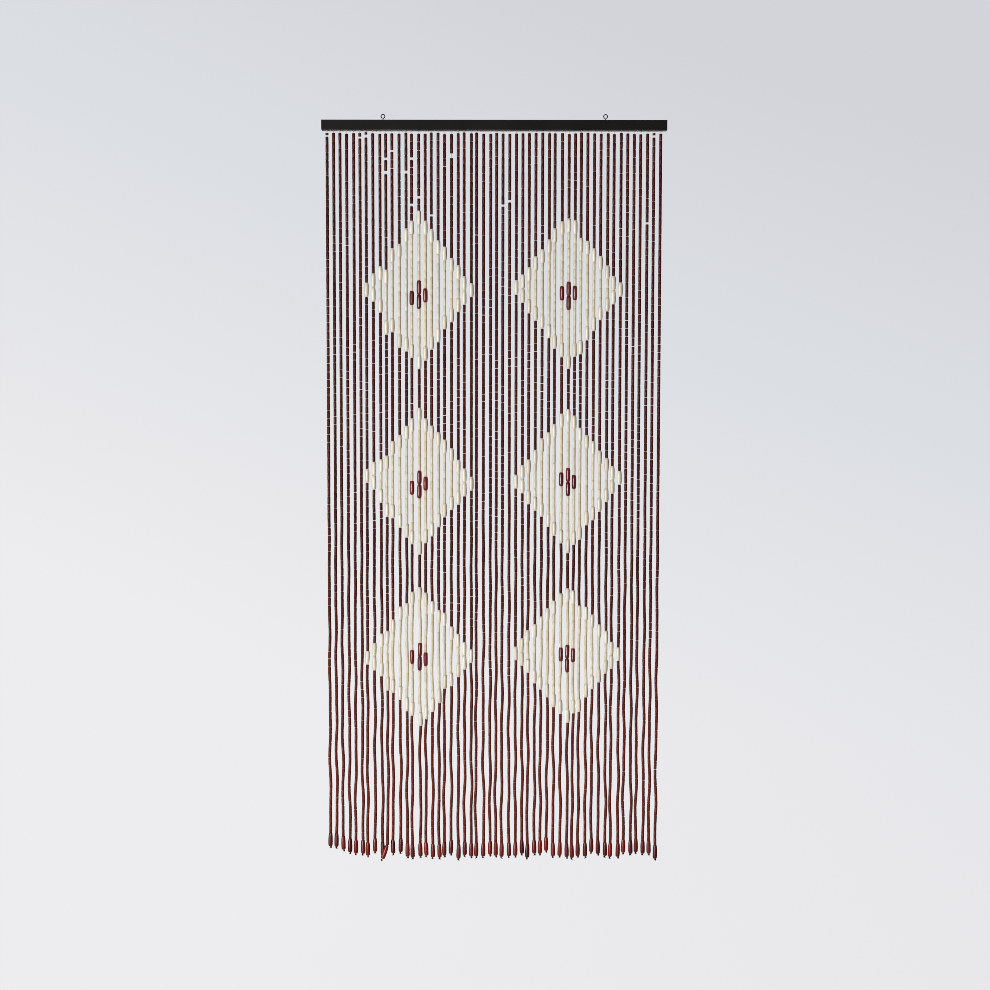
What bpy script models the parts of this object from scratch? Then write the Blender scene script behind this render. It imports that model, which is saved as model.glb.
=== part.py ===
# A doorway bead curtain: 52 threads of wooden beads, with six diamonds in cream beads,
# hung from a dark wooden batten that has two screw eyes in its top edge.
# Metres, +X to the right, +Y to the back, +Z up. The origin is the middle of the batten's top face.

import math
import random

import bmesh
import bpy

# Driving dimensions of the batten and its screw eyes
BATTEN_WIDTH = 0.900
BATTEN_DEPTH = 0.022
BATTEN_HEIGHT = 0.0260
BATTEN_EASE = 0.0008
EYE_SPACING = 0.580
EYE_OUTER = 0.0124
EYE_WIRE = 0.0024
EYE_LIFT = 0.0042
EYE_SHANK = 0.014
EYE_NECK = ((0.0, -0.0018), (0.0004, 0.0))
EYE_BEND_START = math.radians(-73)
EYE_BEND_END = math.radians(257)
EYE_BEND_STEPS = 26
FIT_GAP = 0.0003

# Driving dimensions of the threads, all measured down from the batten's top face
THREAD_COUNT = 52
THREAD_PITCH = 0.01705
THREAD_SHIFT = -0.0016
THREAD_WIDTH = 0.0012
LINE_HEIGHT = 0.0024
LINE_DEPTH = 0.003
LINE_OVERHANG = 0.004
FIRST_BEAD = 0.0332
FIRST_BEAD_SPREAD = 0.0022
CURTAIN_DROP = 1.961
DROP_SPREAD = 0.0008
DROP_LIMIT = 0.001

# Bead sizes
TUBE_WIDTH = 0.0078
OVAL_LENGTH = 0.037
OVAL_WIDTH = 0.0122
END_BEAD_LENGTH = 0.037
END_BEAD_WIDTH = 0.0124
END_BEAD_BELLY = 0.6
END_BEAD_TIP = 0.0084
KNOT_HEIGHT = 0.005
KNOT_WIDTH = 0.0048
KNOT_TIP = 0.003

# Each diamond spans 17 threads. Columns: its middle thread, how far down its centre lies,
# the pitch of the cream tubes that step its edges, and how far its red ovals hang below the
# middle of their cream beads on its three middle threads.
DIAMOND_REACH = 8
TUBE_SPREAD = 0.0004
STRUNG_SPREAD = 0.003
DIAMONDS = (
    {"row": 0, "middle": 14, "centre": 0.440, "tube": 0.0240, "low": (0.022, 0.0115, 0.012)},
    {"row": 0, "middle": 37, "centre": 0.435, "tube": 0.0231, "low": (0.0105, 0.005, 0.011)},
    {"row": 1, "middle": 14, "centre": 0.941, "tube": 0.0220, "low": (0.0165, 0.008, 0.007)},
    {"row": 1, "middle": 37, "centre": 0.938, "tube": 0.0223, "low": (0.0015, 0.002, 0.004)},
    {"row": 2, "middle": 14, "centre": 1.409, "tube": 0.0217, "low": (0.0085, 0.0, 0.0085)},
    {"row": 2, "middle": 37, "centre": 1.399, "tube": 0.0209, "low": (0.002, 0.008, 0.0085)},
)

# Threads whose cream beads were strung off the pattern: how far they lie too low in each row.
SLIPS = (
    {"thread": 6, "drops": (-0.001, -0.014, 0.003)},
    {"thread": 7, "drops": (-0.007, -0.014, 0.000)},
    {"thread": 9, "drops": (0.031, 0.014, 0.011)},
    {"thread": 11, "drops": (0.015, 0.001, -0.009)},
    {"thread": 18, "drops": (-0.006, -0.007, -0.016)},
    {"thread": 37, "drops": (0.014, 0.003, 0.007)},
    {"thread": 39, "drops": (0.020, 0.010, 0.015)},
)

# How many millimetres short of the curtain's drop each thread ends, left to right: the left edge
# is drawn up, and the rest were knotted by eye.
SHORT_BY = (
    33, 33, 25, 17, 14, 14, 8, 19, 8, 3, 14, 19, 6, 3, 6, 8, 3, 3, 8, 14, 0, 11, 6, 6, 6, 11,
    8, 6, 8, 8, 14, 3, 14, 14, 22, 8, 8, 6, 3, 8, 6, 19, 14, 8, 6, 6, 17, 14, 19, 14, 14, 1,
)

# Bare stretches of thread between two beads: how far down each one starts, and its height.
BARE_STRETCHES = (
    {"thread": 0, "down": 0.0385, "height": 0.004},
    {"thread": 5, "down": 0.0430, "height": 0.004},
    {"thread": 6, "down": 0.0370, "height": 0.007},
    {"thread": 9, "down": 0.0960, "height": 0.006},
    {"thread": 9, "down": 0.1310, "height": 0.008},
    {"thread": 10, "down": 0.0765, "height": 0.005},
    {"thread": 12, "down": 0.1300, "height": 0.007},
    {"thread": 13, "down": 0.0960, "height": 0.006},
    {"thread": 13, "down": 0.2150, "height": 0.006},
    {"thread": 14, "down": 0.1960, "height": 0.005},
    {"thread": 16, "down": 0.2430, "height": 0.005},
    {"thread": 19, "down": 0.0850, "height": 0.012},
    {"thread": 27, "down": 0.2170, "height": 0.005},
    {"thread": 28, "down": 0.2060, "height": 0.005},
    {"thread": 49, "down": 0.2630, "height": 0.005},
    {"thread": 50, "down": 0.0380, "height": 0.005},
)

# How the threads stray: at the batten, then sideways and forwards as they near the ground.
# Thread 9 has swung across the thread on its left, in front of it.
PITCH_SPREAD = 0.0008
PITCH_LIMIT = 0.0016
SWAY_SPREAD = 0.0012
WAVE_SPREAD = 0.0007
WAVE_LENGTH = 0.55
SWAY_LIMIT = 0.0022
BEND_DEPTHS = (1.05, 1.35, 1.62, 1.80)
SWUNG_THREAD = 9
SWING_START = 1.70
SWING_FORWARD = 0.0142
SWING_BACK_AT = 1.914
SWING_BACK = 0.0200

SEED = 52


def plain_material(name, colour, roughness, metallic=0.0):
    material = bpy.data.materials.new(name)
    material.use_nodes = True
    shader = material.node_tree.nodes["Principled BSDF"]
    shader.inputs["Base Color"].default_value = (*colour, 1.0)
    shader.inputs["Roughness"].default_value = roughness
    shader.inputs["Metallic"].default_value = metallic
    return material


def add_object(name, data, material):
    piece = bpy.data.objects.new(name, data)
    data.materials.append(material)
    bpy.context.collection.objects.link(piece)
    return piece


def mesh_of(name, shape):
    bmesh.ops.recalc_face_normals(shape, faces=shape.faces)
    mesh = bpy.data.meshes.new(name)
    shape.to_mesh(mesh)
    shape.free()
    return mesh


def block(name, width, depth, height):
    shape = bmesh.new()
    bmesh.ops.create_cube(shape, size=1.0)
    bmesh.ops.scale(shape, vec=(width, depth, height), verts=shape.verts)
    return mesh_of(name, shape)


def hidden_cutter(name, mesh, place):
    cutter = bpy.data.objects.new(name, mesh)
    cutter.location = place
    cutter.hide_render = True
    cutter.display_type = "WIRE"
    bpy.context.collection.objects.link(cutter)
    return cutter


def clear_scene():
    for leftover in list(bpy.data.objects):
        bpy.data.objects.remove(leftover, do_unlink=True)


# The batten, a planed strip of dark wood, drilled from above for the two screw eyes
def make_batten():
    wood = plain_material("dark_stained_wood", (0.017, 0.015, 0.015), 0.55)
    mesh = block("batten", BATTEN_WIDTH, BATTEN_DEPTH, BATTEN_HEIGHT)
    batten = add_object("batten", mesh, wood)
    batten.location.z = -BATTEN_HEIGHT / 2
    ease = batten.modifiers.new("eased edges", "BEVEL")
    ease.width = BATTEN_EASE
    ease.segments = 2
    for side in (-1, 1):
        drill = bmesh.new()
        radius = EYE_WIRE / 2 + FIT_GAP
        depth = 2 * (EYE_SHANK + FIT_GAP)
        bmesh.ops.create_cone(
            drill, cap_ends=True, segments=16, radius1=radius, radius2=radius, depth=depth
        )
        place = (side * EYE_SPACING / 2, 0, 0)
        hole = batten.modifiers.new("eye hole", "BOOLEAN")
        hole.object = hidden_cutter("eye_drill", mesh_of("eye_drill", drill), place)
        hole.operation = "DIFFERENCE"
        hole.solver = "EXACT"


# A screw eye: one wire that rises out of the batten and is bent round into a ring,
# whose cut end stops just short of where the bend began
def make_eye(name, x, turn):
    steel = plain_material("dark_eye_steel", (0.06, 0.055, 0.05), 0.38, 0.9)
    wire = bpy.data.curves.new(name, "CURVE")
    wire.dimensions = "3D"
    wire.bevel_depth = EYE_WIRE / 2
    wire.bevel_resolution = 3
    wire.use_fill_caps = True
    ring = (EYE_OUTER - EYE_WIRE) / 2
    centre = EYE_LIFT + EYE_OUTER / 2
    points = [(0.0, -EYE_SHANK)]
    for across, up in EYE_NECK:
        points.append((across, EYE_LIFT + up))
    for step in range(EYE_BEND_STEPS + 1):
        angle = EYE_BEND_START + (EYE_BEND_END - EYE_BEND_START) * step / EYE_BEND_STEPS
        points.append((ring * math.cos(angle), centre + ring * math.sin(angle)))
    route = wire.splines.new("POLY")
    route.points.add(len(points) - 1)
    for point, (across, up) in zip(route.points, points):
        point.co = (turn * across, 0.0, up, 1.0)
    eye = add_object(name, wire, steel)
    eye.location.x = x


def stray(chance, spread, limit):
    """A random departure, of the given spread, that never passes the limit."""
    return max(-limit, min(limit, chance.gauss(0, spread)))


def diamond_column(diamond, thread, chance):
    """Where a diamond's cream beads start and end on one thread, and how many red ovals it has."""
    away = abs(thread - diamond["middle"])
    if away == DIAMOND_REACH:
        length = OVAL_LENGTH
    else:
        tubes = 2 * (DIAMOND_REACH - 1 - away)
        length = 2 * OVAL_LENGTH + tubes * (diamond["tube"] + chance.gauss(0, TUBE_SPREAD))
    drop = chance.gauss(0, STRUNG_SPREAD)
    for slip in SLIPS:
        if slip["thread"] == thread:
            drop = slip["drops"][diamond["row"]]
    middle = diamond["centre"] + drop
    return middle - length / 2, middle + length / 2, max(0, 2 - away)


def add_oval(stations, start):
    """The stations of one oval bead, each how far down and how wide; stacked ovals share one."""
    if stations[-1] != (start, TUBE_WIDTH):
        stations.append((start, TUBE_WIDTH))
    stations.append((start + OVAL_LENGTH / 2, OVAL_WIDTH))
    stations.append((start + OVAL_LENGTH, TUBE_WIDTH))


def thread_stations(thread, chance):
    """Stations down one thread, as (down, width), from the line to the knot."""
    first = FIRST_BEAD + chance.uniform(-FIRST_BEAD_SPREAD, FIRST_BEAD_SPREAD)
    end = CURTAIN_DROP - SHORT_BY[thread] / 1000 - abs(stray(chance, DROP_SPREAD, DROP_LIMIT))
    line_middle = BATTEN_HEIGHT + FIT_GAP + LINE_HEIGHT / 2
    stations = [(line_middle, THREAD_WIDTH), (first, THREAD_WIDTH), (first, TUBE_WIDTH)]
    for bare in BARE_STRETCHES:
        if bare["thread"] == thread:
            stop = bare["down"] + bare["height"]
            stations += [(bare["down"], TUBE_WIDTH), (bare["down"], THREAD_WIDTH)]
            stations += [(stop, THREAD_WIDTH), (stop, TUBE_WIDTH)]
    for diamond in DIAMONDS:
        if abs(thread - diamond["middle"]) > DIAMOND_REACH:
            continue
        top, bottom, reds = diamond_column(diamond, thread, chance)
        add_oval(stations, top)
        red_top = (top + bottom - reds * OVAL_LENGTH) / 2
        if reds > 0:
            red_top += diamond["low"][thread - diamond["middle"] + 1]
        for red in range(reds):
            add_oval(stations, red_top + red * OVAL_LENGTH)
        if bottom - top > OVAL_LENGTH:
            add_oval(stations, bottom - OVAL_LENGTH)
    knot = end - KNOT_HEIGHT
    bead = knot - END_BEAD_LENGTH
    for depth in BEND_DEPTHS:
        if depth > stations[-1][0] + OVAL_LENGTH:
            stations.append((depth, TUBE_WIDTH))
    stations += [(bead, TUBE_WIDTH), (bead + END_BEAD_LENGTH * END_BEAD_BELLY, END_BEAD_WIDTH)]
    stations += [(knot, END_BEAD_TIP), (knot, KNOT_WIDTH), (end, KNOT_TIP)]
    return stations


def thread_path(thread, chance):
    """A function that gives a thread's x and y at any depth."""
    level = THREAD_SHIFT + (thread - (THREAD_COUNT - 1) / 2) * THREAD_PITCH
    level += stray(chance, PITCH_SPREAD, PITCH_LIMIT)
    sway = stray(chance, SWAY_SPREAD, SWAY_LIMIT)
    wave = chance.gauss(0, WAVE_SPREAD)
    phase = chance.uniform(0, math.tau)

    def at(down):
        share = down / CURTAIN_DROP
        lean = sway + wave * math.sin(math.tau * down / WAVE_LENGTH + phase)
        x = level + lean * share**2
        y = 0.0
        if thread == SWUNG_THREAD:
            forward = (down - SWING_START) / (SWING_BACK_AT - SWING_START)
            back = (down - SWING_BACK_AT) / (CURTAIN_DROP - SWING_BACK_AT)
            y = -SWING_FORWARD * min(1.0, max(0.0, forward))
            x -= SWING_BACK * max(0.0, back)
        return x, y

    return at


def add_strand(shape, stations, path):
    """One four-sided strand, its corners at the sides, front and back, with a ring at each station."""
    rings = []
    for down, width in stations:
        x, y = path(down)
        half = width / 2
        corners = ((x + half, y), (x, y + half), (x - half, y), (x, y - half))
        rings.append([shape.verts.new((cx, cy, -down)) for cx, cy in corners])
    for upper, lower in zip(rings, rings[1:]):
        for corner in range(4):
            after = (corner + 1) % 4
            shape.faces.new((upper[corner], lower[corner], lower[after], upper[after]))
    shape.faces.new(rings[0])
    shape.faces.new(reversed(rings[-1]))


# The threads with their beads, and the line along the batten's underside that they are tied to
def make_threads():
    wood = plain_material("brown_wood_beads", (0.115, 0.045, 0.032), 0.45)
    chance = random.Random(SEED)
    shape = bmesh.new()
    for thread in range(THREAD_COUNT):
        path = thread_path(thread, chance)
        add_strand(shape, thread_stations(thread, chance), path)
    strands = hidden_cutter("strands", mesh_of("strands", shape), (0, 0, 0))
    span = (THREAD_COUNT - 1) * THREAD_PITCH + 2 * LINE_OVERHANG
    line = add_object("strings", block("strings", span, LINE_DEPTH, LINE_HEIGHT), wood)
    line.location = (THREAD_SHIFT, 0, -BATTEN_HEIGHT - FIT_GAP - LINE_HEIGHT / 2)
    join = line.modifiers.new("threads", "BOOLEAN")
    join.object = strands
    join.operation = "UNION"
    join.solver = "EXACT"


clear_scene()
make_batten()
make_eye("eye_left", -EYE_SPACING / 2, 1)
make_eye("eye_right", EYE_SPACING / 2, 1)
make_threads()
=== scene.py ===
# The looks of a doorway bead curtain: wooden beads on 52 nylon threads under a dark batten.
# Metres, +X to the right, +Y to the back, +Z up, with the origin on the batten's top face.

import math
import random

import bmesh
import bpy
import numpy as np
from mathutils import Matrix, Vector


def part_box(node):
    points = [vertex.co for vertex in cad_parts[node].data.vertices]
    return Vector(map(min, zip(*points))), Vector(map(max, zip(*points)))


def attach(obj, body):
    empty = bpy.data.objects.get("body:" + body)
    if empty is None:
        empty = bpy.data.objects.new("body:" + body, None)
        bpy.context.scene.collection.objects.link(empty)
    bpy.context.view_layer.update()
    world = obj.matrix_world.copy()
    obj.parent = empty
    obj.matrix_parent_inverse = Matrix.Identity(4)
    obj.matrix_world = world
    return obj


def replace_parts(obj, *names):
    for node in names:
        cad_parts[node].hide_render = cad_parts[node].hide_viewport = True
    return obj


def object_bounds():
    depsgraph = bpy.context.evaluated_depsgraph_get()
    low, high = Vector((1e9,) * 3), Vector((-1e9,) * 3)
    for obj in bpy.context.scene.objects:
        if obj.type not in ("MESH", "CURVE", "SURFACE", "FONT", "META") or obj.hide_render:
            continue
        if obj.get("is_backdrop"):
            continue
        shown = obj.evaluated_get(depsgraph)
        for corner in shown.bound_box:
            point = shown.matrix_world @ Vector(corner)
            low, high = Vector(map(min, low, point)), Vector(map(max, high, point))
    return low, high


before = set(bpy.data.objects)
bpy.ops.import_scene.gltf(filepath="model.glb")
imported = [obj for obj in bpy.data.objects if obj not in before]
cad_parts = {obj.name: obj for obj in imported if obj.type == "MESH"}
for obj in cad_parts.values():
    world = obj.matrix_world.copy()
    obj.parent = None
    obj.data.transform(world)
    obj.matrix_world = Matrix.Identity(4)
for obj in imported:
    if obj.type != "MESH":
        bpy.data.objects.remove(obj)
cad_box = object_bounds()
MM = 0.001


# The camera
# It stands 4 m in front of the curtain, a little above its middle, looks slightly down and is
# a hair off level, as the photograph was taken.
CAMERA_PLACE = (0.0031, -4.0, -0.731)
CAMERA_TILT_DOWN = math.radians(3.53)
CAMERA_ROLL = math.radians(0.07)
PIXEL_BLUR = 0.8
SENSOR_WIDTH = 36.0
LENS = 55.09

camera = bpy.data.objects.new("camera", bpy.data.cameras.new("camera"))
camera.data.sensor_width = SENSOR_WIDTH
camera.data.lens = LENS
camera.location = CAMERA_PLACE
level = Matrix.Rotation(math.radians(90) - CAMERA_TILT_DOWN, 3, "X")
camera.rotation_euler = (level @ Matrix.Rotation(CAMERA_ROLL, 3, "Z")).to_euler()
bpy.context.collection.objects.link(camera)
bpy.context.scene.camera = camera
bpy.context.scene.view_settings.view_transform = "Standard"
bpy.context.scene.cycles.filter_width = PIXEL_BLUR


# The batten
# A planed strip of close-grained hardwood, stained black-brown and given one coat of satin
# varnish. It stays the CAD solid, whose edges are eased with a pass of sandpaper.
def linear(colour):
    """The linear value of an sRGB hex colour."""
    channels = [int(colour[place:place + 2], 16) / 255 for place in (1, 3, 5)]
    return (*[c / 12.92 if c <= 0.04045 else ((c + 0.055) / 1.055) ** 2.4 for c in channels], 1.0)


def add_node(tree, kind, settings, links=None):
    """Adds a node. A setting is one of its properties or a socket; a link is socket: source."""
    made = tree.nodes.new(kind)
    for key, value in settings.items():
        if isinstance(key, str) and hasattr(made, key):
            setattr(made, key, value)
        else:
            made.inputs[key].default_value = value
    for socket, source in (links or {}).items():
        tree.links.new(source, made.inputs[socket])
    return made


def finish_named(name, **constants):
    """A new material, its node tree and its shader, with the constants set on the shader."""
    material = bpy.data.materials.new(name)
    material.use_nodes = True
    shader = material.node_tree.nodes["Principled BSDF"]
    for socket, value in constants.items():
        shader.inputs[socket.replace("_", " ")].default_value = value
    return material, material.node_tree, shader


def mixed(tree, share, first, second):
    """One colour turning to another by a share; either may be a hex colour or a socket."""
    mix = add_node(tree, "ShaderNodeMix", {"data_type": "RGBA"}, {0: share})
    for socket, colour in ((6, first), (7, second)):
        if isinstance(colour, str):
            mix.inputs[socket].default_value = linear(colour)
        else:
            tree.links.new(colour, mix.inputs[socket])
    return mix.outputs[2]


def noise(tree, scale, detail, stretch=None, links=None, **settings):
    """Noise over the piece's own place, drawn out by a scale for each axis where one is given."""
    place = add_node(tree, "ShaderNodeTexCoord", {}).outputs["Object"]
    if stretch:
        place = add_node(tree, "ShaderNodeMapping", {"Scale": stretch}, {"Vector": place}).outputs[0]
    settings = {"Scale": scale, "Detail": detail, **settings}
    return add_node(tree, "ShaderNodeTexNoise", settings, {"Vector": place, **(links or {})}).outputs[0]


def ramped(tree, value, start, stop, low=0.0, high=1.0):
    """A value turned to low at start and to high at stop."""
    ramp = add_node(
        tree, "ShaderNodeMapRange", {1: start, 2: stop, 3: low, 4: high}, {0: value}
    )
    return ramp.outputs[0]


def combined(tree, operation, first, second):
    """Two values, or a value and a number, put together by a math operation."""
    made = add_node(tree, "ShaderNodeMath", {"operation": operation}, {0: first})
    if isinstance(second, (int, float)):
        made.inputs[1].default_value = second
    else:
        tree.links.new(second, made.inputs[1])
    return made.outputs[0]


GRAIN_ACROSS = 0.9 * MM
GRAIN_ALONG = 55 * MM
PORE_ACROSS = 0.35 * MM
PORE_ALONG = 9 * MM
BATTEN_GRAIN_RELIEF = 0.06 * MM
RUBBED_EDGE = 0.5 * MM


def black_stained_batten_wood():
    # Stained hardwood: almost black, with a slightly browner line of grain, a low satin gloss
    # and edges where handling has worn the stain thin.
    material, tree, shader = finish_named(
        "black_stained_batten_wood", IOR=1.5, Specular_IOR_Level=0.17
    )
    along = (1 / GRAIN_ALONG, 1 / GRAIN_ACROSS, 1 / GRAIN_ACROSS)
    fine = (1 / PORE_ALONG, 1 / PORE_ACROSS, 1 / PORE_ACROSS)
    grain = noise(tree, 1.0, 6.0, along, Roughness=0.6, Distortion=0.5)
    pores = noise(tree, 1.0, 3.0, fine)
    blotches = noise(tree, 9.0, 2.0)
    colour = mixed(tree, ramped(tree, grain, 0.35, 0.7), "#0E0C0D", "#171414")
    colour = mixed(tree, ramped(tree, blotches, 0.45, 0.7, 0.0, 0.6), colour, "#1B1516")
    colour = mixed(tree, ramped(tree, pores, 0.62, 0.72), colour, "#080707")
    place = add_node(tree, "ShaderNodeTexCoord", {}).outputs["Object"]
    apart = add_node(tree, "ShaderNodeSeparateXYZ", {}, {0: place})
    low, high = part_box("batten")
    middle = (low + high) / 2
    half = (high - low) / 2
    edges = []
    for axis in (1, 2):
        off = combined(tree, "SUBTRACT", apart.outputs[axis], middle[axis])
        reach = combined(tree, "ABSOLUTE", off, 0)
        edges.append(ramped(tree, reach, half[axis] - 3 * RUBBED_EDGE, half[axis] - RUBBED_EDGE))
    rubbed = combined(tree, "MULTIPLY", edges[0], edges[1])
    rubbed = combined(tree, "MULTIPLY", rubbed, ramped(tree, blotches, 0.4, 0.65))
    colour = mixed(tree, rubbed, colour, "#3E2F2A")
    tree.links.new(colour, shader.inputs["Base Color"])
    tree.links.new(ramped(tree, grain, 0.3, 0.7, 0.5, 0.68), shader.inputs["Roughness"])
    bump = add_node(
        tree, "ShaderNodeBump", {"Strength": 0.6, "Distance": BATTEN_GRAIN_RELIEF}, {"Height": grain}
    )
    tree.links.new(bump.outputs[0], shader.inputs["Normal"])
    return material


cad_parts["batten"].data.materials.clear()
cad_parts["batten"].data.materials.append(black_stained_batten_wood())


# The screw eyes
# Bought steel hardware, bronzed dark: one wire bent round into a ring, its shank screwed into
# the batten's top edge. Each finer wire follows the CAD solid's own route.
EYE_WIRE = 2.4 * MM
EYE_OUTER = 12.4 * MM
EYE_SHANK = 14 * MM
EYE_NECK = 4.2 * MM
EYE_NECK_TURN = ((0.0, -1.8 * MM), (0.4 * MM, 0.0))
EYE_BEND = (math.radians(-73), math.radians(257))
EYE_STEPS = 72
EYE_THREAD_PITCH = 1.1 * MM
EYE_THREAD_RIDGE = 0.28 * MM
EYE_THREAD_STEPS = 14


def add_piece(name, mesh, material):
    """A finished piece that rides on the curtain, its place in its mesh."""
    mesh.name = name
    mesh.materials.clear()
    mesh.materials.append(material)
    piece = bpy.data.objects.new(name, mesh)
    bpy.context.collection.objects.link(piece)
    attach(piece, "root")
    return piece


def wire_mesh(routes, thickness, sides, closed=False):
    """A mesh of round wires or threads, one along each route of points."""
    curve = bpy.data.curves.new("wire", "CURVE")
    curve.dimensions = "3D"
    curve.bevel_depth = thickness / 2
    curve.bevel_resolution = (sides - 4) // 2
    curve.use_fill_caps = not closed
    for route in routes:
        spline = curve.splines.new("POLY")
        spline.points.add(len(route) - 1)
        for point, place in zip(spline.points, route):
            point.co = (*place, 1.0)
        spline.use_cyclic_u = closed
    holder = bpy.data.objects.new("wire", curve)
    bpy.context.collection.objects.link(holder)
    seen = holder.evaluated_get(bpy.context.evaluated_depsgraph_get())
    mesh = bpy.data.meshes.new_from_object(seen)
    bpy.data.objects.remove(holder, do_unlink=True)
    mesh.shade_smooth()
    return mesh


def bronzed_eye_steel():
    # Bronzed steel: a dark brown oxide over bright metal, with a soft sheen and paler patches.
    material, tree, shader = finish_named("bronzed_eye_steel", Metallic=1.0)
    patches = noise(tree, 420.0, 4.0)
    colour = mixed(tree, ramped(tree, patches, 0.4, 0.7), "#151311", "#2A2521")
    tree.links.new(colour, shader.inputs["Base Color"])
    tree.links.new(ramped(tree, patches, 0.3, 0.7, 0.34, 0.5), shader.inputs["Roughness"])
    return material


def eye_route(turn):
    ring = (EYE_OUTER - EYE_WIRE) / 2
    centre = EYE_NECK + EYE_OUTER / 2
    route = [(0.0, 0.0, -EYE_SHANK)]
    route += [(turn * across, 0.0, EYE_NECK + up) for across, up in EYE_NECK_TURN]
    for step in range(EYE_STEPS + 1):
        angle = EYE_BEND[0] + (EYE_BEND[1] - EYE_BEND[0]) * step / EYE_STEPS
        route.append((turn * ring * math.cos(angle), 0.0, centre + ring * math.sin(angle)))
    return route


def eye_thread_route():
    """The screw thread's crest, from the tip of the shank to just above the wood."""
    rise = EYE_SHANK + EYE_NECK / 3
    steps = round(rise / EYE_THREAD_PITCH * EYE_THREAD_STEPS)
    route = []
    for step in range(steps + 1):
        angle = math.tau * step / EYE_THREAD_STEPS
        height = -EYE_SHANK + rise * step / steps
        route.append((EYE_WIRE / 2 * math.cos(angle), EYE_WIRE / 2 * math.sin(angle), height))
    return route


eye_steel = bronzed_eye_steel()
for node_name in ("eye_left", "eye_right"):
    low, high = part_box(node_name)
    shape = bmesh.new()
    shape.from_mesh(wire_mesh([eye_route(1)], EYE_WIRE, 16))
    shape.from_mesh(wire_mesh([eye_thread_route()], 2 * EYE_THREAD_RIDGE, 6))
    bmesh.ops.translate(shape, vec=((low.x + high.x) / 2, 0, 0), verts=shape.verts)
    eye_mesh = bpy.data.meshes.new(node_name)
    shape.to_mesh(eye_mesh)
    shape.free()
    eye_mesh.shade_smooth()
    eye = add_piece("fine_" + node_name, eye_mesh, eye_steel)
    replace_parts(eye, node_name)


# The hanging line
# A two-ply nylon cord pulled tight along the batten's underside, held up by wire staples
# driven into the wood between the threads. It stands for the CAD strip at the strands' roots.
LINE_PLY = 1.2 * MM
LINE_TWIST = 6.0 * MM
LINE_TURN_STEPS = 8
STAPLE_WIRE = 0.9 * MM
STAPLE_SPAN = 4.0 * MM
STAPLE_LEG = 5.0 * MM
STAPLE_BEND = 0.7 * MM
STAPLE_BEND_MIDDLE = 0.3 * STAPLE_BEND
THREADS_PER_STAPLE = 4
LINE_HEIGHT = 2.4 * MM

strings_low, strings_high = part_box("strings")
line_middle = strings_high.z - LINE_HEIGHT / 2


def clear_nylon():
    # Nylon: a milky, half-clear plastic thread with a slight waxy shine.
    material, tree, shader = finish_named(
        "clear_nylon_thread", IOR=1.53, Transmission_Weight=0.25, Roughness=0.3
    )
    clouds = noise(tree, 350.0, 2.0)
    colour = mixed(tree, ramped(tree, clouds, 0.35, 0.7), "#F2EFEA", "#DAD5CD")
    tree.links.new(colour, shader.inputs["Base Color"])
    return material


def grey_nylon_cord():
    # Laid nylon cord, dyed grey: soft fibres with a dull sheen, darker between its two plies.
    material, tree, shader = finish_named("grey_laid_nylon_cord", IOR=1.53, Roughness=0.6)
    fibres = noise(tree, 500.0, 3.0)
    colour = mixed(tree, ramped(tree, fibres, 0.35, 0.7), "#8E8A88", "#B5B1AE")
    tree.links.new(colour, shader.inputs["Base Color"])
    return material


def galvanised_wire():
    # Galvanised staple wire: grey zinc, dull, with faint draw marks.
    material, tree, shader = finish_named("galvanised_staple_wire", Metallic=1.0)
    marks = noise(tree, 900.0, 2.0)
    tree.links.new(mixed(tree, marks, "#8E9092", "#B5B6B6"), shader.inputs["Base Color"])
    tree.links.new(ramped(tree, marks, 0.3, 0.7, 0.35, 0.5), shader.inputs["Roughness"])
    return material


def ply_route(phase):
    length = strings_high.x - strings_low.x
    steps = round(length / LINE_TWIST * LINE_TURN_STEPS)
    route = []
    for step in range(steps + 1):
        angle = math.tau * step / LINE_TURN_STEPS + phase
        along = strings_low.x + length * step / steps
        away = LINE_PLY / 2
        route.append((along, away * math.cos(angle), line_middle + away * math.sin(angle)))
    return route


def staple_route(x):
    top = strings_high.z + STAPLE_LEG
    bottom = line_middle - LINE_HEIGHT / 2 - STAPLE_WIRE / 2
    half = STAPLE_SPAN / 2
    return [
        (x, -half, top),
        (x, -half, bottom + STAPLE_BEND),
        (x, -half + STAPLE_BEND_MIDDLE, bottom + STAPLE_BEND_MIDDLE),
        (x, -half + STAPLE_BEND, bottom),
        (x, half - STAPLE_BEND, bottom),
        (x, half - STAPLE_BEND_MIDDLE, bottom + STAPLE_BEND_MIDDLE),
        (x, half, bottom + STAPLE_BEND),
        (x, half, top),
    ]


nylon = clear_nylon()
plies = wire_mesh([ply_route(0), ply_route(math.pi)], LINE_PLY, 6)
line = add_piece("hanging_line", plies, grey_nylon_cord())
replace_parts(line, "strings")


# The threads
# Nylon thread, one to each row of beads, tied round the line with three turns and an overhand
# knot. Each follows the middle of its CAD strand, and strays a little more near the ground.
MERGE_DISTANCE = 0.01 * MM
SAME_DEPTH = 0.03 * MM
THREAD = 1.0 * MM
THREAD_SIDES = 6
THREAD_STEP = 20 * MM
TURN_THREAD = 0.8 * MM
TURN_SIDES = 12
TURN_PLACES = (-1.1 * MM, 0.0, 1.1 * MM)
TOP_KNOT_WIDTH = 2.2 * MM
KNOT_OVERLAP = 1.5 * MM
SHARP_FROM = math.radians(55)
STRAY = 2.0 * MM
STRAY_START = 0.85
STRAY_FULL = 1.65
STRAY_END = 0.10
STRAY_LEFT = 0.6
STRAY_WAVES = ((0.23, 0.6), (0.13, 0.4))
KNOT_STEPS = 36
KNOT_REACH = 3.0
KNOT_DEPTH = 1.3

chance = random.Random(2081)


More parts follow.
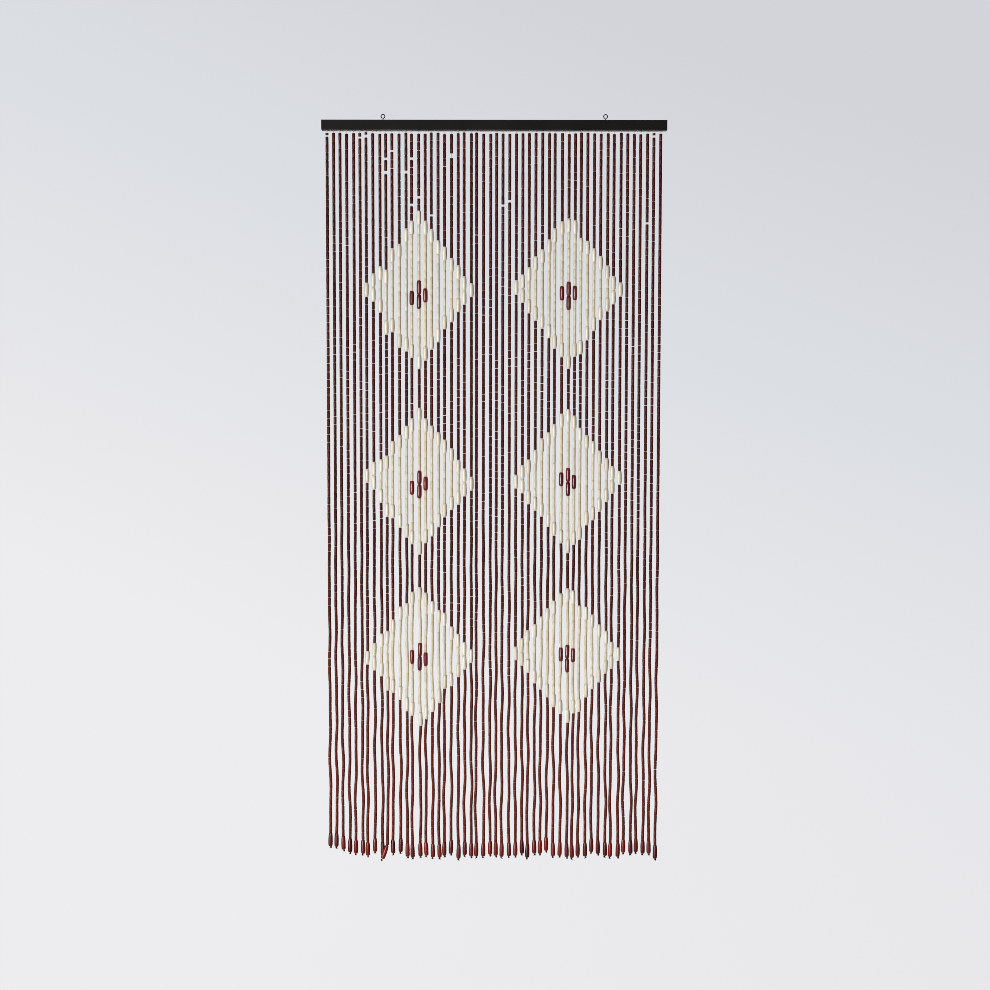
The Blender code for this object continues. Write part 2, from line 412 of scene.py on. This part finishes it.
def strand_rings():
    """Every CAD strand, left to right, as rings from the top down.

    A ring is its depth, its middle's x and y, and the least and most that it reaches sideways.
    """
    solid = bmesh.new()
    solid.from_mesh(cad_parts["strings"].data)
    bmesh.ops.remove_doubles(solid, verts=solid.verts, dist=MERGE_DISTANCE)
    below_line = line_middle - LINE_HEIGHT / 2 - MERGE_DISTANCE * 5
    strip = [vert for vert in solid.verts if vert.co.z > below_line]
    bmesh.ops.delete(solid, geom=strip, context="VERTS")
    seen = set()
    strands = []
    for start in solid.verts:
        if start in seen:
            continue
        seen.add(start)
        island = [start]
        for vert in island:
            for edge in vert.link_edges:
                other = edge.other_vert(vert)
                if other not in seen:
                    seen.add(other)
                    island.append(other)
        strands.append(rings_of([vert.co.copy() for vert in island]))
    solid.free()
    return sorted(strands, key=lambda rings: rings[0]["x"])


def rings_of(corners):
    levels = []
    for corner in sorted(corners, key=lambda place: -place.z):
        if not levels or levels[-1][0].z - corner.z > SAME_DEPTH:
            levels.append([])
        levels[-1].append(corner)
    rings = []
    for level in levels:
        x = (min(c.x for c in level) + max(c.x for c in level)) / 2
        y = (min(c.y for c in level) + max(c.y for c in level)) / 2
        reaches = [math.hypot(c.x - x, c.y - y) for c in level]
        ring = {"down": -level[0].z, "x": x, "y": y, "least": min(reaches), "most": max(reaches)}
        rings.append(ring)
    return rings


class Thread:
    """The route of one thread, and the rings of the CAD strand that it hangs in."""

    def __init__(self, rings):
        self.rings = rings
        self.downs = [ring["down"] for ring in rings]
        self.xs = [ring["x"] for ring in rings]
        self.ys = [ring["y"] for ring in rings]
        # A strand's last four rings are its end bead's top, belly and foot, and the knot's tip.
        self.bead_end = rings[-4]["down"]
        self.foot = rings[-2]["down"]
        self.phases = [[chance.uniform(0, math.tau) for _ in STRAY_WAVES] for _ in range(2)]

    def at(self, down):
        """The thread's place at a depth below the batten's top.

        It strays more toward the ground, and less again above the end bead, whose weight holds it.
        """
        share = min(1.0, max(0.0, (down - STRAY_START) / (STRAY_FULL - STRAY_START)))
        share *= min(1.0, max(STRAY_LEFT, (self.bead_end - down) / STRAY_END))
        place = []
        for values, phases in zip((self.xs, self.ys), self.phases):
            wave = 0.0
            for (length, size), phase in zip(STRAY_WAVES, phases):
                wave += size * math.sin(math.tau * down / length + phase)
            place.append(float(np.interp(down, self.downs, values)) + STRAY * share * wave)
        return Vector((*place, -down))


def overhand_knot(width, thickness, height):
    """A knot's mesh round the origin: a thread that runs over and under itself three times."""
    route = []
    scale = (width - thickness) / 2 / KNOT_REACH
    for step in range(KNOT_STEPS):
        t = math.tau * step / KNOT_STEPS
        across = scale * (math.sin(t) + 2 * math.sin(2 * t))
        upward = scale * (math.cos(t) - 2 * math.cos(2 * t)) * height / width
        route.append((across, -scale * KNOT_DEPTH * math.sin(3 * t), upward))
    return wire_mesh([route], thickness, 6, closed=True)


def line_turn(thickness):
    """One turn of thread round the hanging line, whose middle is at the origin."""
    turn = bmesh.new()
    bmesh.ops.create_circle(turn, segments=THREAD_SIDES, radius=thickness / 2)
    out = (LINE_HEIGHT + thickness) / 2
    bmesh.ops.translate(turn, vec=(0, out, 0), verts=turn.verts)
    bmesh.ops.spin(
        turn,
        geom=turn.verts[:] + turn.edges[:],
        axis=(1, 0, 0),
        cent=(0, 0, 0),
        steps=TURN_SIDES,
        angle=math.tau,
        use_merge=True,
    )
    bmesh.ops.remove_doubles(turn, verts=turn.verts, dist=MERGE_DISTANCE)
    bmesh.ops.recalc_face_normals(turn, faces=turn.faces)
    mesh = bpy.data.meshes.new("line_turn")
    turn.to_mesh(mesh)
    turn.free()
    return mesh


def joined_copies(name, pattern, hangings):
    """One mesh of many like things: a copy of the pattern for each place, turn and size.

    Each copy carries its own tone and dye, and is marked 1 at its two ends and 0 between them.
    """
    corners = np.array([vert.co[:] for vert in pattern.vertices])
    loops = np.array([loop.vertex_index for loop in pattern.loops])
    starts = np.array([face.loop_start for face in pattern.polygons])
    turns = np.array([hanging["turn"] for hanging in hangings])
    middles = np.array([hanging["middle"] for hanging in hangings])
    copies = np.arange(len(hangings))[:, None]
    places = np.einsum("nij,vj->nvi", turns, corners) + middles[:, None, :]
    mesh = bpy.data.meshes.new(name)
    mesh.vertices.add(places.size // 3)
    mesh.vertices.foreach_set("co", places.ravel())
    mesh.loops.add(len(loops) * len(hangings))
    mesh.loops.foreach_set("vertex_index", (loops + len(corners) * copies).ravel())
    mesh.polygons.add(len(starts) * len(hangings))
    mesh.polygons.foreach_set("loop_start", (starts + len(loops) * copies).ravel())
    mesh.update(calc_edges=True)
    for key in ("tone", "dye"):
        shades = np.repeat([hanging.get(key, 0.5) for hanging in hangings], len(corners))
        mesh.attributes.new(key, "FLOAT", "POINT").data.foreach_set("value", shades)
    height = np.abs(corners[:, 2])
    ends = np.tile((height > height.max() - MERGE_DISTANCE).astype(float), len(hangings))
    mesh.attributes.new("end", "FLOAT", "POINT").data.foreach_set("value", ends)
    mesh.shade_smooth()
    mesh.set_sharp_from_angle(angle=SHARP_FROM)
    return mesh


def hung(upper, lower, slack=0.0, wide=1.0, long=1.0):
    """How one bead or knot hangs between two places on its thread."""
    axis = (upper - lower).normalized()
    axis += Vector((chance.gauss(0, slack), chance.gauss(0, slack), 0))
    roll = Matrix.Rotation(chance.uniform(0, math.tau), 3, "Z")
    turn = axis.to_track_quat("Z", "Y").to_matrix() @ roll
    size = Matrix.Diagonal((wide, wide, long))
    return {"middle": (upper + lower) / 2, "turn": turn @ size, "tone": chance.random()}


threads = [Thread(rings) for rings in strand_rings()]

thread_routes = []
turns = []
top_knots = []
for thread in threads:
    last = thread.foot + KNOT_OVERLAP
    downs = np.append(np.arange(-line_middle, last, THREAD_STEP), last)
    thread_routes.append([thread.at(down) for down in downs])
    root = thread.at(-line_middle)
    for across in TURN_PLACES:
        place = root + Vector((across, 0, 0))
        turns.append({"middle": place, "turn": Matrix.Identity(3), "tone": chance.random()})
    knot_low = thread.at(-line_middle + LINE_HEIGHT / 2 + TOP_KNOT_WIDTH)
    top_knots.append(hung(knot_low + Vector((0, 0, TOP_KNOT_WIDTH)), knot_low))
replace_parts(add_piece("threads", wire_mesh(thread_routes, THREAD, THREAD_SIDES), nylon), "strings")
turn_mesh = joined_copies("thread_turns", line_turn(TURN_THREAD), turns)
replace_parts(add_piece("thread_turns", turn_mesh, nylon), "strings")
knot_mesh = overhand_knot(TOP_KNOT_WIDTH, TURN_THREAD, TOP_KNOT_WIDTH)
top_knot_mesh = joined_copies("top_knots", knot_mesh, top_knots)
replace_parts(add_piece("top_knots", top_knot_mesh, nylon), "strings")

staple_places = []
for after in range(THREADS_PER_STAPLE - 1, len(threads) - 1, THREADS_PER_STAPLE):
    staple_places.append((threads[after].xs[0] + threads[after + 1].xs[0]) / 2)
staples = wire_mesh([staple_route(x) for x in staple_places], STAPLE_WIRE, 8)
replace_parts(add_piece("line_staples", staples, galvanised_wire()), "strings")


# The tube beads
# Short tubes of turned softwood, drilled, tumbled until their rims are round, stained brown and
# varnished. The diamonds are filled with the same tubes dipped in ivory paint. They are strung
# loose, so small gaps open between them, mostly in the upper half.
TUBE_WIDTH = 7.8 * MM
TUBE_LENGTH = 20 * MM
TUBE_RIM = 0.7 * MM
BORE = 2.4 * MM
TUBE_SIDES = 10
BROWN_PITCH = 20.4 * MM
IVORY_PITCH = 22.2 * MM
PITCH_SPREAD = 0.035
CLOSE_GAP = 0.12 * MM
OPEN_GAPS = (0.7 * MM, 1.7 * MM)
OPEN_SHARE = {"upper": 0.26, "lower": 0.05}
OPEN_GAPS_END = 1.05
SHORTEST_RUN = 3 * MM
TUBE_SLACK = 0.007
TUBE_WIDE = (1.0, 1.05)
BARE_THREAD = 1.0 * MM
OVAL_REACH = 5.9 * MM
ROW_BOUNDS = (0.69, 1.17)
BEAD_GRAIN_ACROSS = 0.5 * MM
BEAD_GRAIN_ALONG = 9 * MM
BEAD_GRAIN_APART = 40.0
BEAD_GRAIN_RELIEF = 0.04 * MM
WORN_FROM = 0.65
# The heights over which the tubes turn to a warmer brown, painted light for the stronger light near the
# ground.
PAINTED_LIGHT_HEIGHTS = (-1.15, -1.75)


def turned_bead(outline, bore, sides):
    """A bead turned round its bore; the outline is its (radius, height) from top to bottom."""
    shape = bmesh.new()
    ring = [(bore / 2, outline[0][1]), *outline, (bore / 2, outline[-1][1])]
    corners = [shape.verts.new((radius, 0, height)) for radius, height in ring]
    edges = [shape.edges.new(pair) for pair in zip(corners, corners[1:] + corners[:1])]
    bmesh.ops.spin(
        shape,
        geom=corners + edges,
        axis=(0, 0, 1),
        cent=(0, 0, 0),
        steps=sides,
        angle=math.tau,
        use_merge=True,
    )
    bmesh.ops.remove_doubles(shape, verts=shape.verts, dist=MERGE_DISTANCE)
    bmesh.ops.recalc_face_normals(shape, faces=shape.faces)
    mesh = bpy.data.meshes.new("bead")
    shape.to_mesh(mesh)
    shape.free()
    return mesh


def bead_wood(name, deep, pale, worn, gloss, roughness, dyes=None, foot_painted_light=None, grain_share=0.5):
    """Turned wood under a coloured finish: tone from bead to bead, grain along it, worn rims, and,
    where given, painted light toward the ground.
    """
    material, tree, shader = finish_named(name, IOR=1.5, Specular_IOR_Level=gloss)
    tone = add_node(tree, "ShaderNodeAttribute", {"attribute_name": "tone"}).outputs["Fac"]
    end = add_node(tree, "ShaderNodeAttribute", {"attribute_name": "end"}).outputs["Fac"]
    along = (1 / BEAD_GRAIN_ACROSS, 1 / BEAD_GRAIN_ACROSS, 1 / BEAD_GRAIN_ALONG)
    apart = {"W": combined(tree, "MULTIPLY", tone, BEAD_GRAIN_APART)}
    grain = noise(tree, 1.0, 3.0, along, apart, noise_dimensions="4D", Distortion=0.4)
    colour = mixed(tree, tone, deep, pale)
    if dyes:
        dye = add_node(tree, "ShaderNodeAttribute", {"attribute_name": "dye"}).outputs["Fac"]
        colour = mixed(tree, ramped(tree, dye, 0.0, 0.5, 0.5, 0.0), colour, dyes[0])
        colour = mixed(tree, ramped(tree, dye, 0.5, 1.0, 0.0, 0.5), colour, dyes[1])
    # Painted light: toward the ground the colour turns to a warmer, lighter brown, standing in for the
    # stronger light on the lower beads.
    if foot_painted_light:
        place = add_node(tree, "ShaderNodeTexCoord", {}).outputs["Object"]
        height = add_node(tree, "ShaderNodeSeparateXYZ", {}, {0: place}).outputs[2]
        colour = mixed(tree, ramped(tree, height, *PAINTED_LIGHT_HEIGHTS), colour, foot_painted_light)
    lines = ramped(tree, grain, 0.45, 0.7, 0.0, grain_share)
    colour = mixed(tree, lines, colour, deep)
    rubbed = combined(tree, "MULTIPLY", end, ramped(tree, tone, WORN_FROM, 1.0, 0.0, 0.9))
    colour = mixed(tree, rubbed, colour, worn)
    tree.links.new(colour, shader.inputs["Base Color"])
    tree.links.new(
        ramped(tree, grain, 0.3, 0.7, roughness - 0.06, roughness + 0.1), shader.inputs["Roughness"]
    )
    bump = add_node(
        tree, "ShaderNodeBump", {"Strength": 0.5, "Distance": BEAD_GRAIN_RELIEF}, {"Height": grain}
    )
    tree.links.new(bump.outputs[0], shader.inputs["Normal"])
    return material


def strung_on(thread):
    """What hangs on a thread: its ovals and its runs of tubes, each a finish, a top and a bottom.

    A ring of next to no width is bare thread, and a wide one is an oval's middle. The tubes
    between two ovals of the same row of diamonds are ivory, and all others are brown.
    """
    runs, ovals = [], []
    place = thread.downs[0]
    row = None
    bare = False
    for before, ring, after in zip(thread.rings, thread.rings[1:-4], thread.rings[2:]):
        if ring["least"] < BARE_THREAD:
            bare = not bare
            if bare:
                runs.append(("brown", place, ring["down"]))
            place = ring["down"]
        elif ring["most"] > OVAL_REACH:
            same = row == sum(ring["down"] > bound for bound in ROW_BOUNDS)
            row = sum(ring["down"] > bound for bound in ROW_BOUNDS)
            runs.append(("ivory" if same else "brown", place, before["down"]))
            ovals.append({"row": row, "top": before["down"], "bottom": after["down"]})
            place = after["down"]
    runs.append(("brown", place, thread.bead_end))
    for number, oval in enumerate(ovals):
        sides = [other["row"] for other in (ovals[number - 1], *ovals[number + 1:number + 2])]
        inside = number > 0 and len(sides) == 2 and sides[0] == sides[1] == oval["row"]
        oval["finish"] = "red" if inside else "ivory"
    return runs, ovals


def tubes_along(top, bottom, pitch):
    """Where each tube of a run starts and stops, with the gaps between them."""
    count = max(1, round((bottom - top) / pitch))
    lengths = [1 + chance.gauss(0, PITCH_SPREAD) for _ in range(count)]
    share = OPEN_SHARE["upper" if top < OPEN_GAPS_END else "lower"]
    gaps = []
    for _ in range(count):
        is_open = pitch == BROWN_PITCH and chance.random() < share
        gaps.append(chance.uniform(*OPEN_GAPS) if is_open else CLOSE_GAP)
    scale = (bottom - top - sum(gaps)) / sum(lengths)
    place = top
    for length, gap in zip(lengths, gaps):
        yield place + gap / 2, place + gap / 2 + length * scale
        place += gap + length * scale


half = TUBE_LENGTH / 2
tube = turned_bead(
    [
        (TUBE_WIDTH / 2 - TUBE_RIM, half),
        (TUBE_WIDTH / 2, half - TUBE_RIM),
        (TUBE_WIDTH / 2, -half + TUBE_RIM),
        (TUBE_WIDTH / 2 - TUBE_RIM, -half),
    ],
    BORE,
    TUBE_SIDES,
)
# Walnut-brown spirit stain under satin varnish: maroon on one thread and more olive on another,
# with pale raw wood where the rims rub; near the ground a redder brown is painted in as painted light.
brown_wood = bead_wood(
    "brown_stained_tube_wood",
    "#421413",
    "#60261F",
    "#D9C7B0",
    gloss=0.2,
    roughness=0.4,
    dyes=("#521418", "#4C2917"),
    foot_painted_light="#742E23",
)
# Ivory paint, dipped: warm off-white with the wood's grain just showing through.
ivory_paint = bead_wood(
    "ivory_painted_wood",
    "#E0D1AF",
    "#EFE3C8",
    "#CDB48C",
    gloss=0.4,
    roughness=0.4,
    grain_share=0.25,
)

plans = [strung_on(thread) for thread in threads]
tubes = {"brown": [], "ivory": []}
for number, (thread, (runs, _)) in enumerate(zip(threads, plans)):
    dye = chance.random()
    for finish, top, bottom in runs:
        if bottom - top < SHORTEST_RUN:
            continue
        pitch = BROWN_PITCH if finish == "brown" else IVORY_PITCH
        for upper, lower in tubes_along(top, bottom, pitch):
            long = (lower - upper) / TUBE_LENGTH
            wide = chance.uniform(*TUBE_WIDE)
            hanging = hung(thread.at(upper), thread.at(lower), TUBE_SLACK, wide, long)
            tubes[finish].append({**hanging, "thread": number, "dye": dye})
quarter = len(threads) // 4
for part in range(4):
    name = f"brown_tubes_{part + 1}"
    chosen = [hanging for hanging in tubes["brown"] if hanging["thread"] // quarter == part]
    brown = add_piece(name, joined_copies(name, tube, chosen), brown_wood)
    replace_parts(brown, "strings")
ivory = joined_copies("ivory_tubes", tube, tubes["ivory"])
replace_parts(add_piece("ivory_tubes", ivory, ivory_paint), "strings")


# The oval beads
# Larger barrels turned from the same wood: ivory ones step round each diamond's outline, and
# four lacquered deep red sit in its heart.
OVAL_LENGTH = 36.6 * MM
OVAL_OUTLINE = (
    {"share": 0.500, "radius": 4.0 * MM},
    {"share": 0.455, "radius": 5.3 * MM},
    {"share": 0.270, "radius": 6.1 * MM},
    {"share": -0.270, "radius": 6.1 * MM},
    {"share": -0.455, "radius": 5.3 * MM},
    {"share": -0.500, "radius": 4.0 * MM},
)
OVAL_SIDES = 10
OVAL_SLACK = 0.006

# Ivory paint, dipped twice on these larger beads: whiter and glossier, with less grain showing.
thick_ivory = bead_wood(
    "thick_ivory_painted_wood",
    "#E7DBC3",
    "#F3EBDA",
    "#D6C19E",
    gloss=0.6,
    roughness=0.34,
    grain_share=0.15,
)
oval_bead = turned_bead(
    [(row["radius"], row["share"] * OVAL_LENGTH) for row in OVAL_OUTLINE], BORE, OVAL_SIDES
)
# Red lacquer: deep cherry over dark wood, the glossiest of the finishes.
red_lacquer = bead_wood(
    "red_lacquered_wood",
    "#4A0F11",
    "#842420",
    "#8A4A32",
    gloss=0.8,
    roughness=0.26,
    dyes=("#66141F", "#722A1A"),
)
ovals = {"ivory": [], "red": []}
for thread, (_, strung) in zip(threads, plans):
    for oval in strung:
        upper, lower = thread.at(oval["top"]), thread.at(oval["bottom"])
        hanging = hung(upper, lower, OVAL_SLACK)
        ovals[oval["finish"]].append({**hanging, "dye": chance.random()})
for finish, paint in (("ivory", thick_ivory), ("red", red_lacquer)):
    name = f"{finish}_ovals"
    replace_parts(add_piece(name, joined_copies(name, oval_bead, ovals[finish]), paint), "strings")


# The end beads
# One mahogany-stained drop at the foot of each thread, slim at the top, full from its middle
# down and cut flat underneath. Its weight keeps the thread straight.
END_BEAD_LENGTH = 36.8 * MM
END_BEAD_SIDES = 16
END_BEAD_OUTLINE = (
    {"down": 0.00, "radius": 3.8 * MM},
    {"down": 0.03, "radius": 4.5 * MM},
    {"down": 0.14, "radius": 5.25 * MM},
    {"down": 0.30, "radius": 5.8 * MM},
    {"down": 0.50, "radius": 6.1 * MM},
    {"down": 0.78, "radius": 6.1 * MM},
    {"down": 0.91, "radius": 5.7 * MM},
    {"down": 0.98, "radius": 4.9 * MM},
    {"down": 1.00, "radius": 4.1 * MM},
)
END_BEAD_SLACK = 0.015

end_bead = turned_bead(
    [(row["radius"], (0.5 - row["down"]) * END_BEAD_LENGTH) for row in END_BEAD_OUTLINE],
    BORE,
    END_BEAD_SIDES,
)
# Mahogany stain under satin varnish: warm red-brown with a broad, soft streak of light.
mahogany = bead_wood(
    "mahogany_varnished_wood",
    "#450908",
    "#98281C",
    "#5B2019",
    gloss=0.5,
    roughness=0.34,
    dyes=("#861222", "#7C2E14"),
)
end_beads = []
for thread in threads:
    upper, lower = thread.at(thread.bead_end), thread.at(thread.foot)
    end_beads.append({**hung(upper, lower, END_BEAD_SLACK), "dye": chance.random()})
end_mesh = joined_copies("end_beads", end_bead, end_beads)
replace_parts(add_piece("end_beads", end_mesh, mahogany), "strings")


# The end knots
# The thread is knotted under its end bead and singed with a flame, which turns the nylon into a
# hard dark lump a little to one side, with the cut tail beside it.
END_KNOT_WIDTH = 5.8 * MM
END_KNOT_HEIGHT = 6.4 * MM
END_KNOT_THREAD = 3.4 * MM
KNOT_ASIDE = (0.48 * MM, 2.4 * MM)
KNOT_TOP_ASIDE = 0.5
TAIL_THREAD = 1.0 * MM
TAIL_START = 0.3 * END_KNOT_HEIGHT
TAIL_REACH = (3.0 * MM, 6.0 * MM)
TAIL_ASIDE = 2.2 * MM
TAIL_BEND = {"down": 0.45, "aside": 0.3}


def singed_nylon():
    # Burnt nylon: nearly black, brown at its thin edges, with a hard uneven gloss.
    material, tree, shader = finish_named("singed_nylon", IOR=1.53)
    burn = noise(tree, 700.0, 3.0)
    colour = mixed(tree, ramped(tree, burn, 0.4, 0.75), "#0C0807", "#2A1812")
    tree.links.new(colour, shader.inputs["Base Color"])
    tree.links.new(ramped(tree, burn, 0.3, 0.7, 0.25, 0.55), shader.inputs["Roughness"])
    return material


end_knots = []
tails = []
for thread in threads:
    foot = thread.at(thread.foot)
    side = chance.choice((-1, 1))
    aside = Vector((side * chance.uniform(*KNOT_ASIDE), 0, 0))
    lower = foot + aside + Vector((0, 0, -END_KNOT_HEIGHT))
    end_knots.append(hung(foot + aside * KNOT_TOP_ASIDE, lower))
    reach = chance.uniform(*TAIL_REACH)
    start = foot + aside * KNOT_TOP_ASIDE + Vector((0, 0, -TAIL_START))
    forward = chance.uniform(-1, 1) * TAIL_ASIDE / 2
    out = Vector((-side * TAIL_ASIDE, forward, -reach * TAIL_BEND["down"]))
    rest = (-side * TAIL_ASIDE * TAIL_BEND["aside"], 0, -reach * (1 - TAIL_BEND["down"]))
    tails.append([start, start + out / 2, start + out, start + out + Vector(rest)])
knot_mesh = overhand_knot(END_KNOT_WIDTH, END_KNOT_THREAD, END_KNOT_HEIGHT)
end_knot_mesh = joined_copies("end_knots", knot_mesh, end_knots)
singed = singed_nylon()
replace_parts(add_piece("end_knots", end_knot_mesh, singed), "strings")
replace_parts(add_piece("thread_tails", wire_mesh(tails, TAIL_THREAD, 6), singed), "strings")


# The studio
# A seamless sweep of paper all round that glows on its own, its brightness painted light rather
# than lit, kept out of the beads' light and reflections. One tall softbox stands left of the
# camera, with weak fill from the right and two broad lights behind, one high and one low.
SWEEP_RADIUS = 9.0
SWEEP_FLOOR = -3.0
SWEEP_CURVE = 3.0
SWEEP_CURVE_STEPS = 12
SWEEP_TOP = 6.0
SWEEP_STEPS = 64
# How strongly the painted falloff of the key light changes across the paper from side to side.
SWEEP_PAINTED_KEY_FALLOFF = 0.4
SWEEP_LOWER = (-3.4, 0.4)
SWEEP_UPPER = (0.6, 2.8)
LIGHTS = (
    {"name": "key", "place": (-4.0, -6.0, -1.2), "size": (1.2, 4.0), "power": 510.0},
    {"name": "fill", "place": (4.5, -5.5, 1.5), "size": (3.0, 3.0), "power": 12.0},
    {"name": "back", "place": (0.0, 5.0, 5.0), "size": (3.0, 3.0), "power": 170.0},
    {"name": "bounce", "place": (0.0, 3.2, -2.4), "size": (3.4, 1.4), "power": 85.0},
)
LIGHTS_AIM = Vector((0, 0, -0.95))
ROOM_LIGHT = {"from above": 0.02, "from the floor": 0.16}
ROOM_TURNS = (-0.8, -0.1)


def painted_light_paper():
    # Sweep paper that glows on its own as painted light: a cool pale grey, whiter toward the ground,
    # and whiter toward the key light's side in a painted falloff of the key.
    material = bpy.data.materials.new("painted_light_paper_sweep")
    material.use_nodes = True
    tree = material.node_tree
    tree.nodes.clear()
    place = add_node(tree, "ShaderNodeTexCoord", {}).outputs["Object"]
    across, _, height = add_node(tree, "ShaderNodeSeparateXYZ", {}, {0: place}).outputs
    # Painted light: the paper is whiter toward the key light's side, as if the key lit it, and whiter
    # toward the ground.
    painted_key_falloff = combined(tree, "MULTIPLY", across, SWEEP_PAINTED_KEY_FALLOFF)
    shade = combined(tree, "ADD", painted_key_falloff, height)
    colour = mixed(tree, ramped(tree, shade, *SWEEP_LOWER), "#EDECEE", "#DBDEE3")
    colour = mixed(tree, ramped(tree, shade, *SWEEP_UPPER), colour, "#D3D4DA")
    glow = add_node(tree, "ShaderNodeEmission", {}, {"Color": colour})
    add_node(tree, "ShaderNodeOutputMaterial", {}, {"Surface": glow.outputs[0]})
    return material


sweep = bmesh.new()
profile = [(0.0, SWEEP_FLOOR)]
for step in range(SWEEP_CURVE_STEPS + 1):
    angle = math.radians(90) * step / SWEEP_CURVE_STEPS
    out = SWEEP_RADIUS - SWEEP_CURVE + SWEEP_CURVE * math.sin(angle)
    profile.append((out, SWEEP_FLOOR + SWEEP_CURVE * (1 - math.cos(angle))))
profile.append((SWEEP_RADIUS, SWEEP_TOP))
corners = [sweep.verts.new((out, 0, up)) for out, up in profile]
edges = [sweep.edges.new(pair) for pair in zip(corners, corners[1:])]
bmesh.ops.spin(
    sweep,
    geom=corners + edges,
    axis=(0, 0, 1),
    cent=(0, 0, 0),
    steps=SWEEP_STEPS,
    angle=math.tau,
    use_merge=True,
)
bmesh.ops.remove_doubles(sweep, verts=sweep.verts, dist=MERGE_DISTANCE)
paper_mesh = bpy.data.meshes.new("paper_sweep")
sweep.to_mesh(paper_mesh)
sweep.free()
paper_mesh.shade_smooth()
paper_mesh.materials.append(painted_light_paper())
paper = bpy.data.objects.new("paper_sweep", paper_mesh)
paper.visible_diffuse = False
paper.visible_glossy = False
paper.visible_shadow = False
bpy.context.collection.objects.link(paper)
paper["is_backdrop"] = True

for row in LIGHTS:
    lamp = bpy.data.lights.new(row["name"], "AREA")
    lamp.shape = "RECTANGLE"
    lamp.size, lamp.size_y = row["size"]
    lamp.energy = row["power"]
    light = bpy.data.objects.new(row["name"], lamp)
    light.location = row["place"]
    light.rotation_euler = (LIGHTS_AIM - light.location).to_track_quat("-Z", "Y").to_euler()
    light.visible_camera = False
    bpy.context.collection.objects.link(light)

room = bpy.data.worlds.new("studio_room")
room.use_nodes = True
tree = room.node_tree
way = add_node(tree, "ShaderNodeTexCoord", {}).outputs["Generated"]
upward = add_node(tree, "ShaderNodeSeparateXYZ", {}, {0: way}).outputs[2]
strength = ramped(tree, upward, *ROOM_TURNS, ROOM_LIGHT["from the floor"], ROOM_LIGHT["from above"])
tree.nodes["Background"].inputs["Color"].default_value = linear("#F6F4F2")
tree.links.new(strength, tree.nodes["Background"].inputs["Strength"])
bpy.context.scene.world = room


# The sizes
# The CAD model's box and the dressed curtain's box, kept side by side.
boxes = {"cad": cad_box, "visual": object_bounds()}
{name: [list(corner) for corner in box] for name, box in boxes.items()}
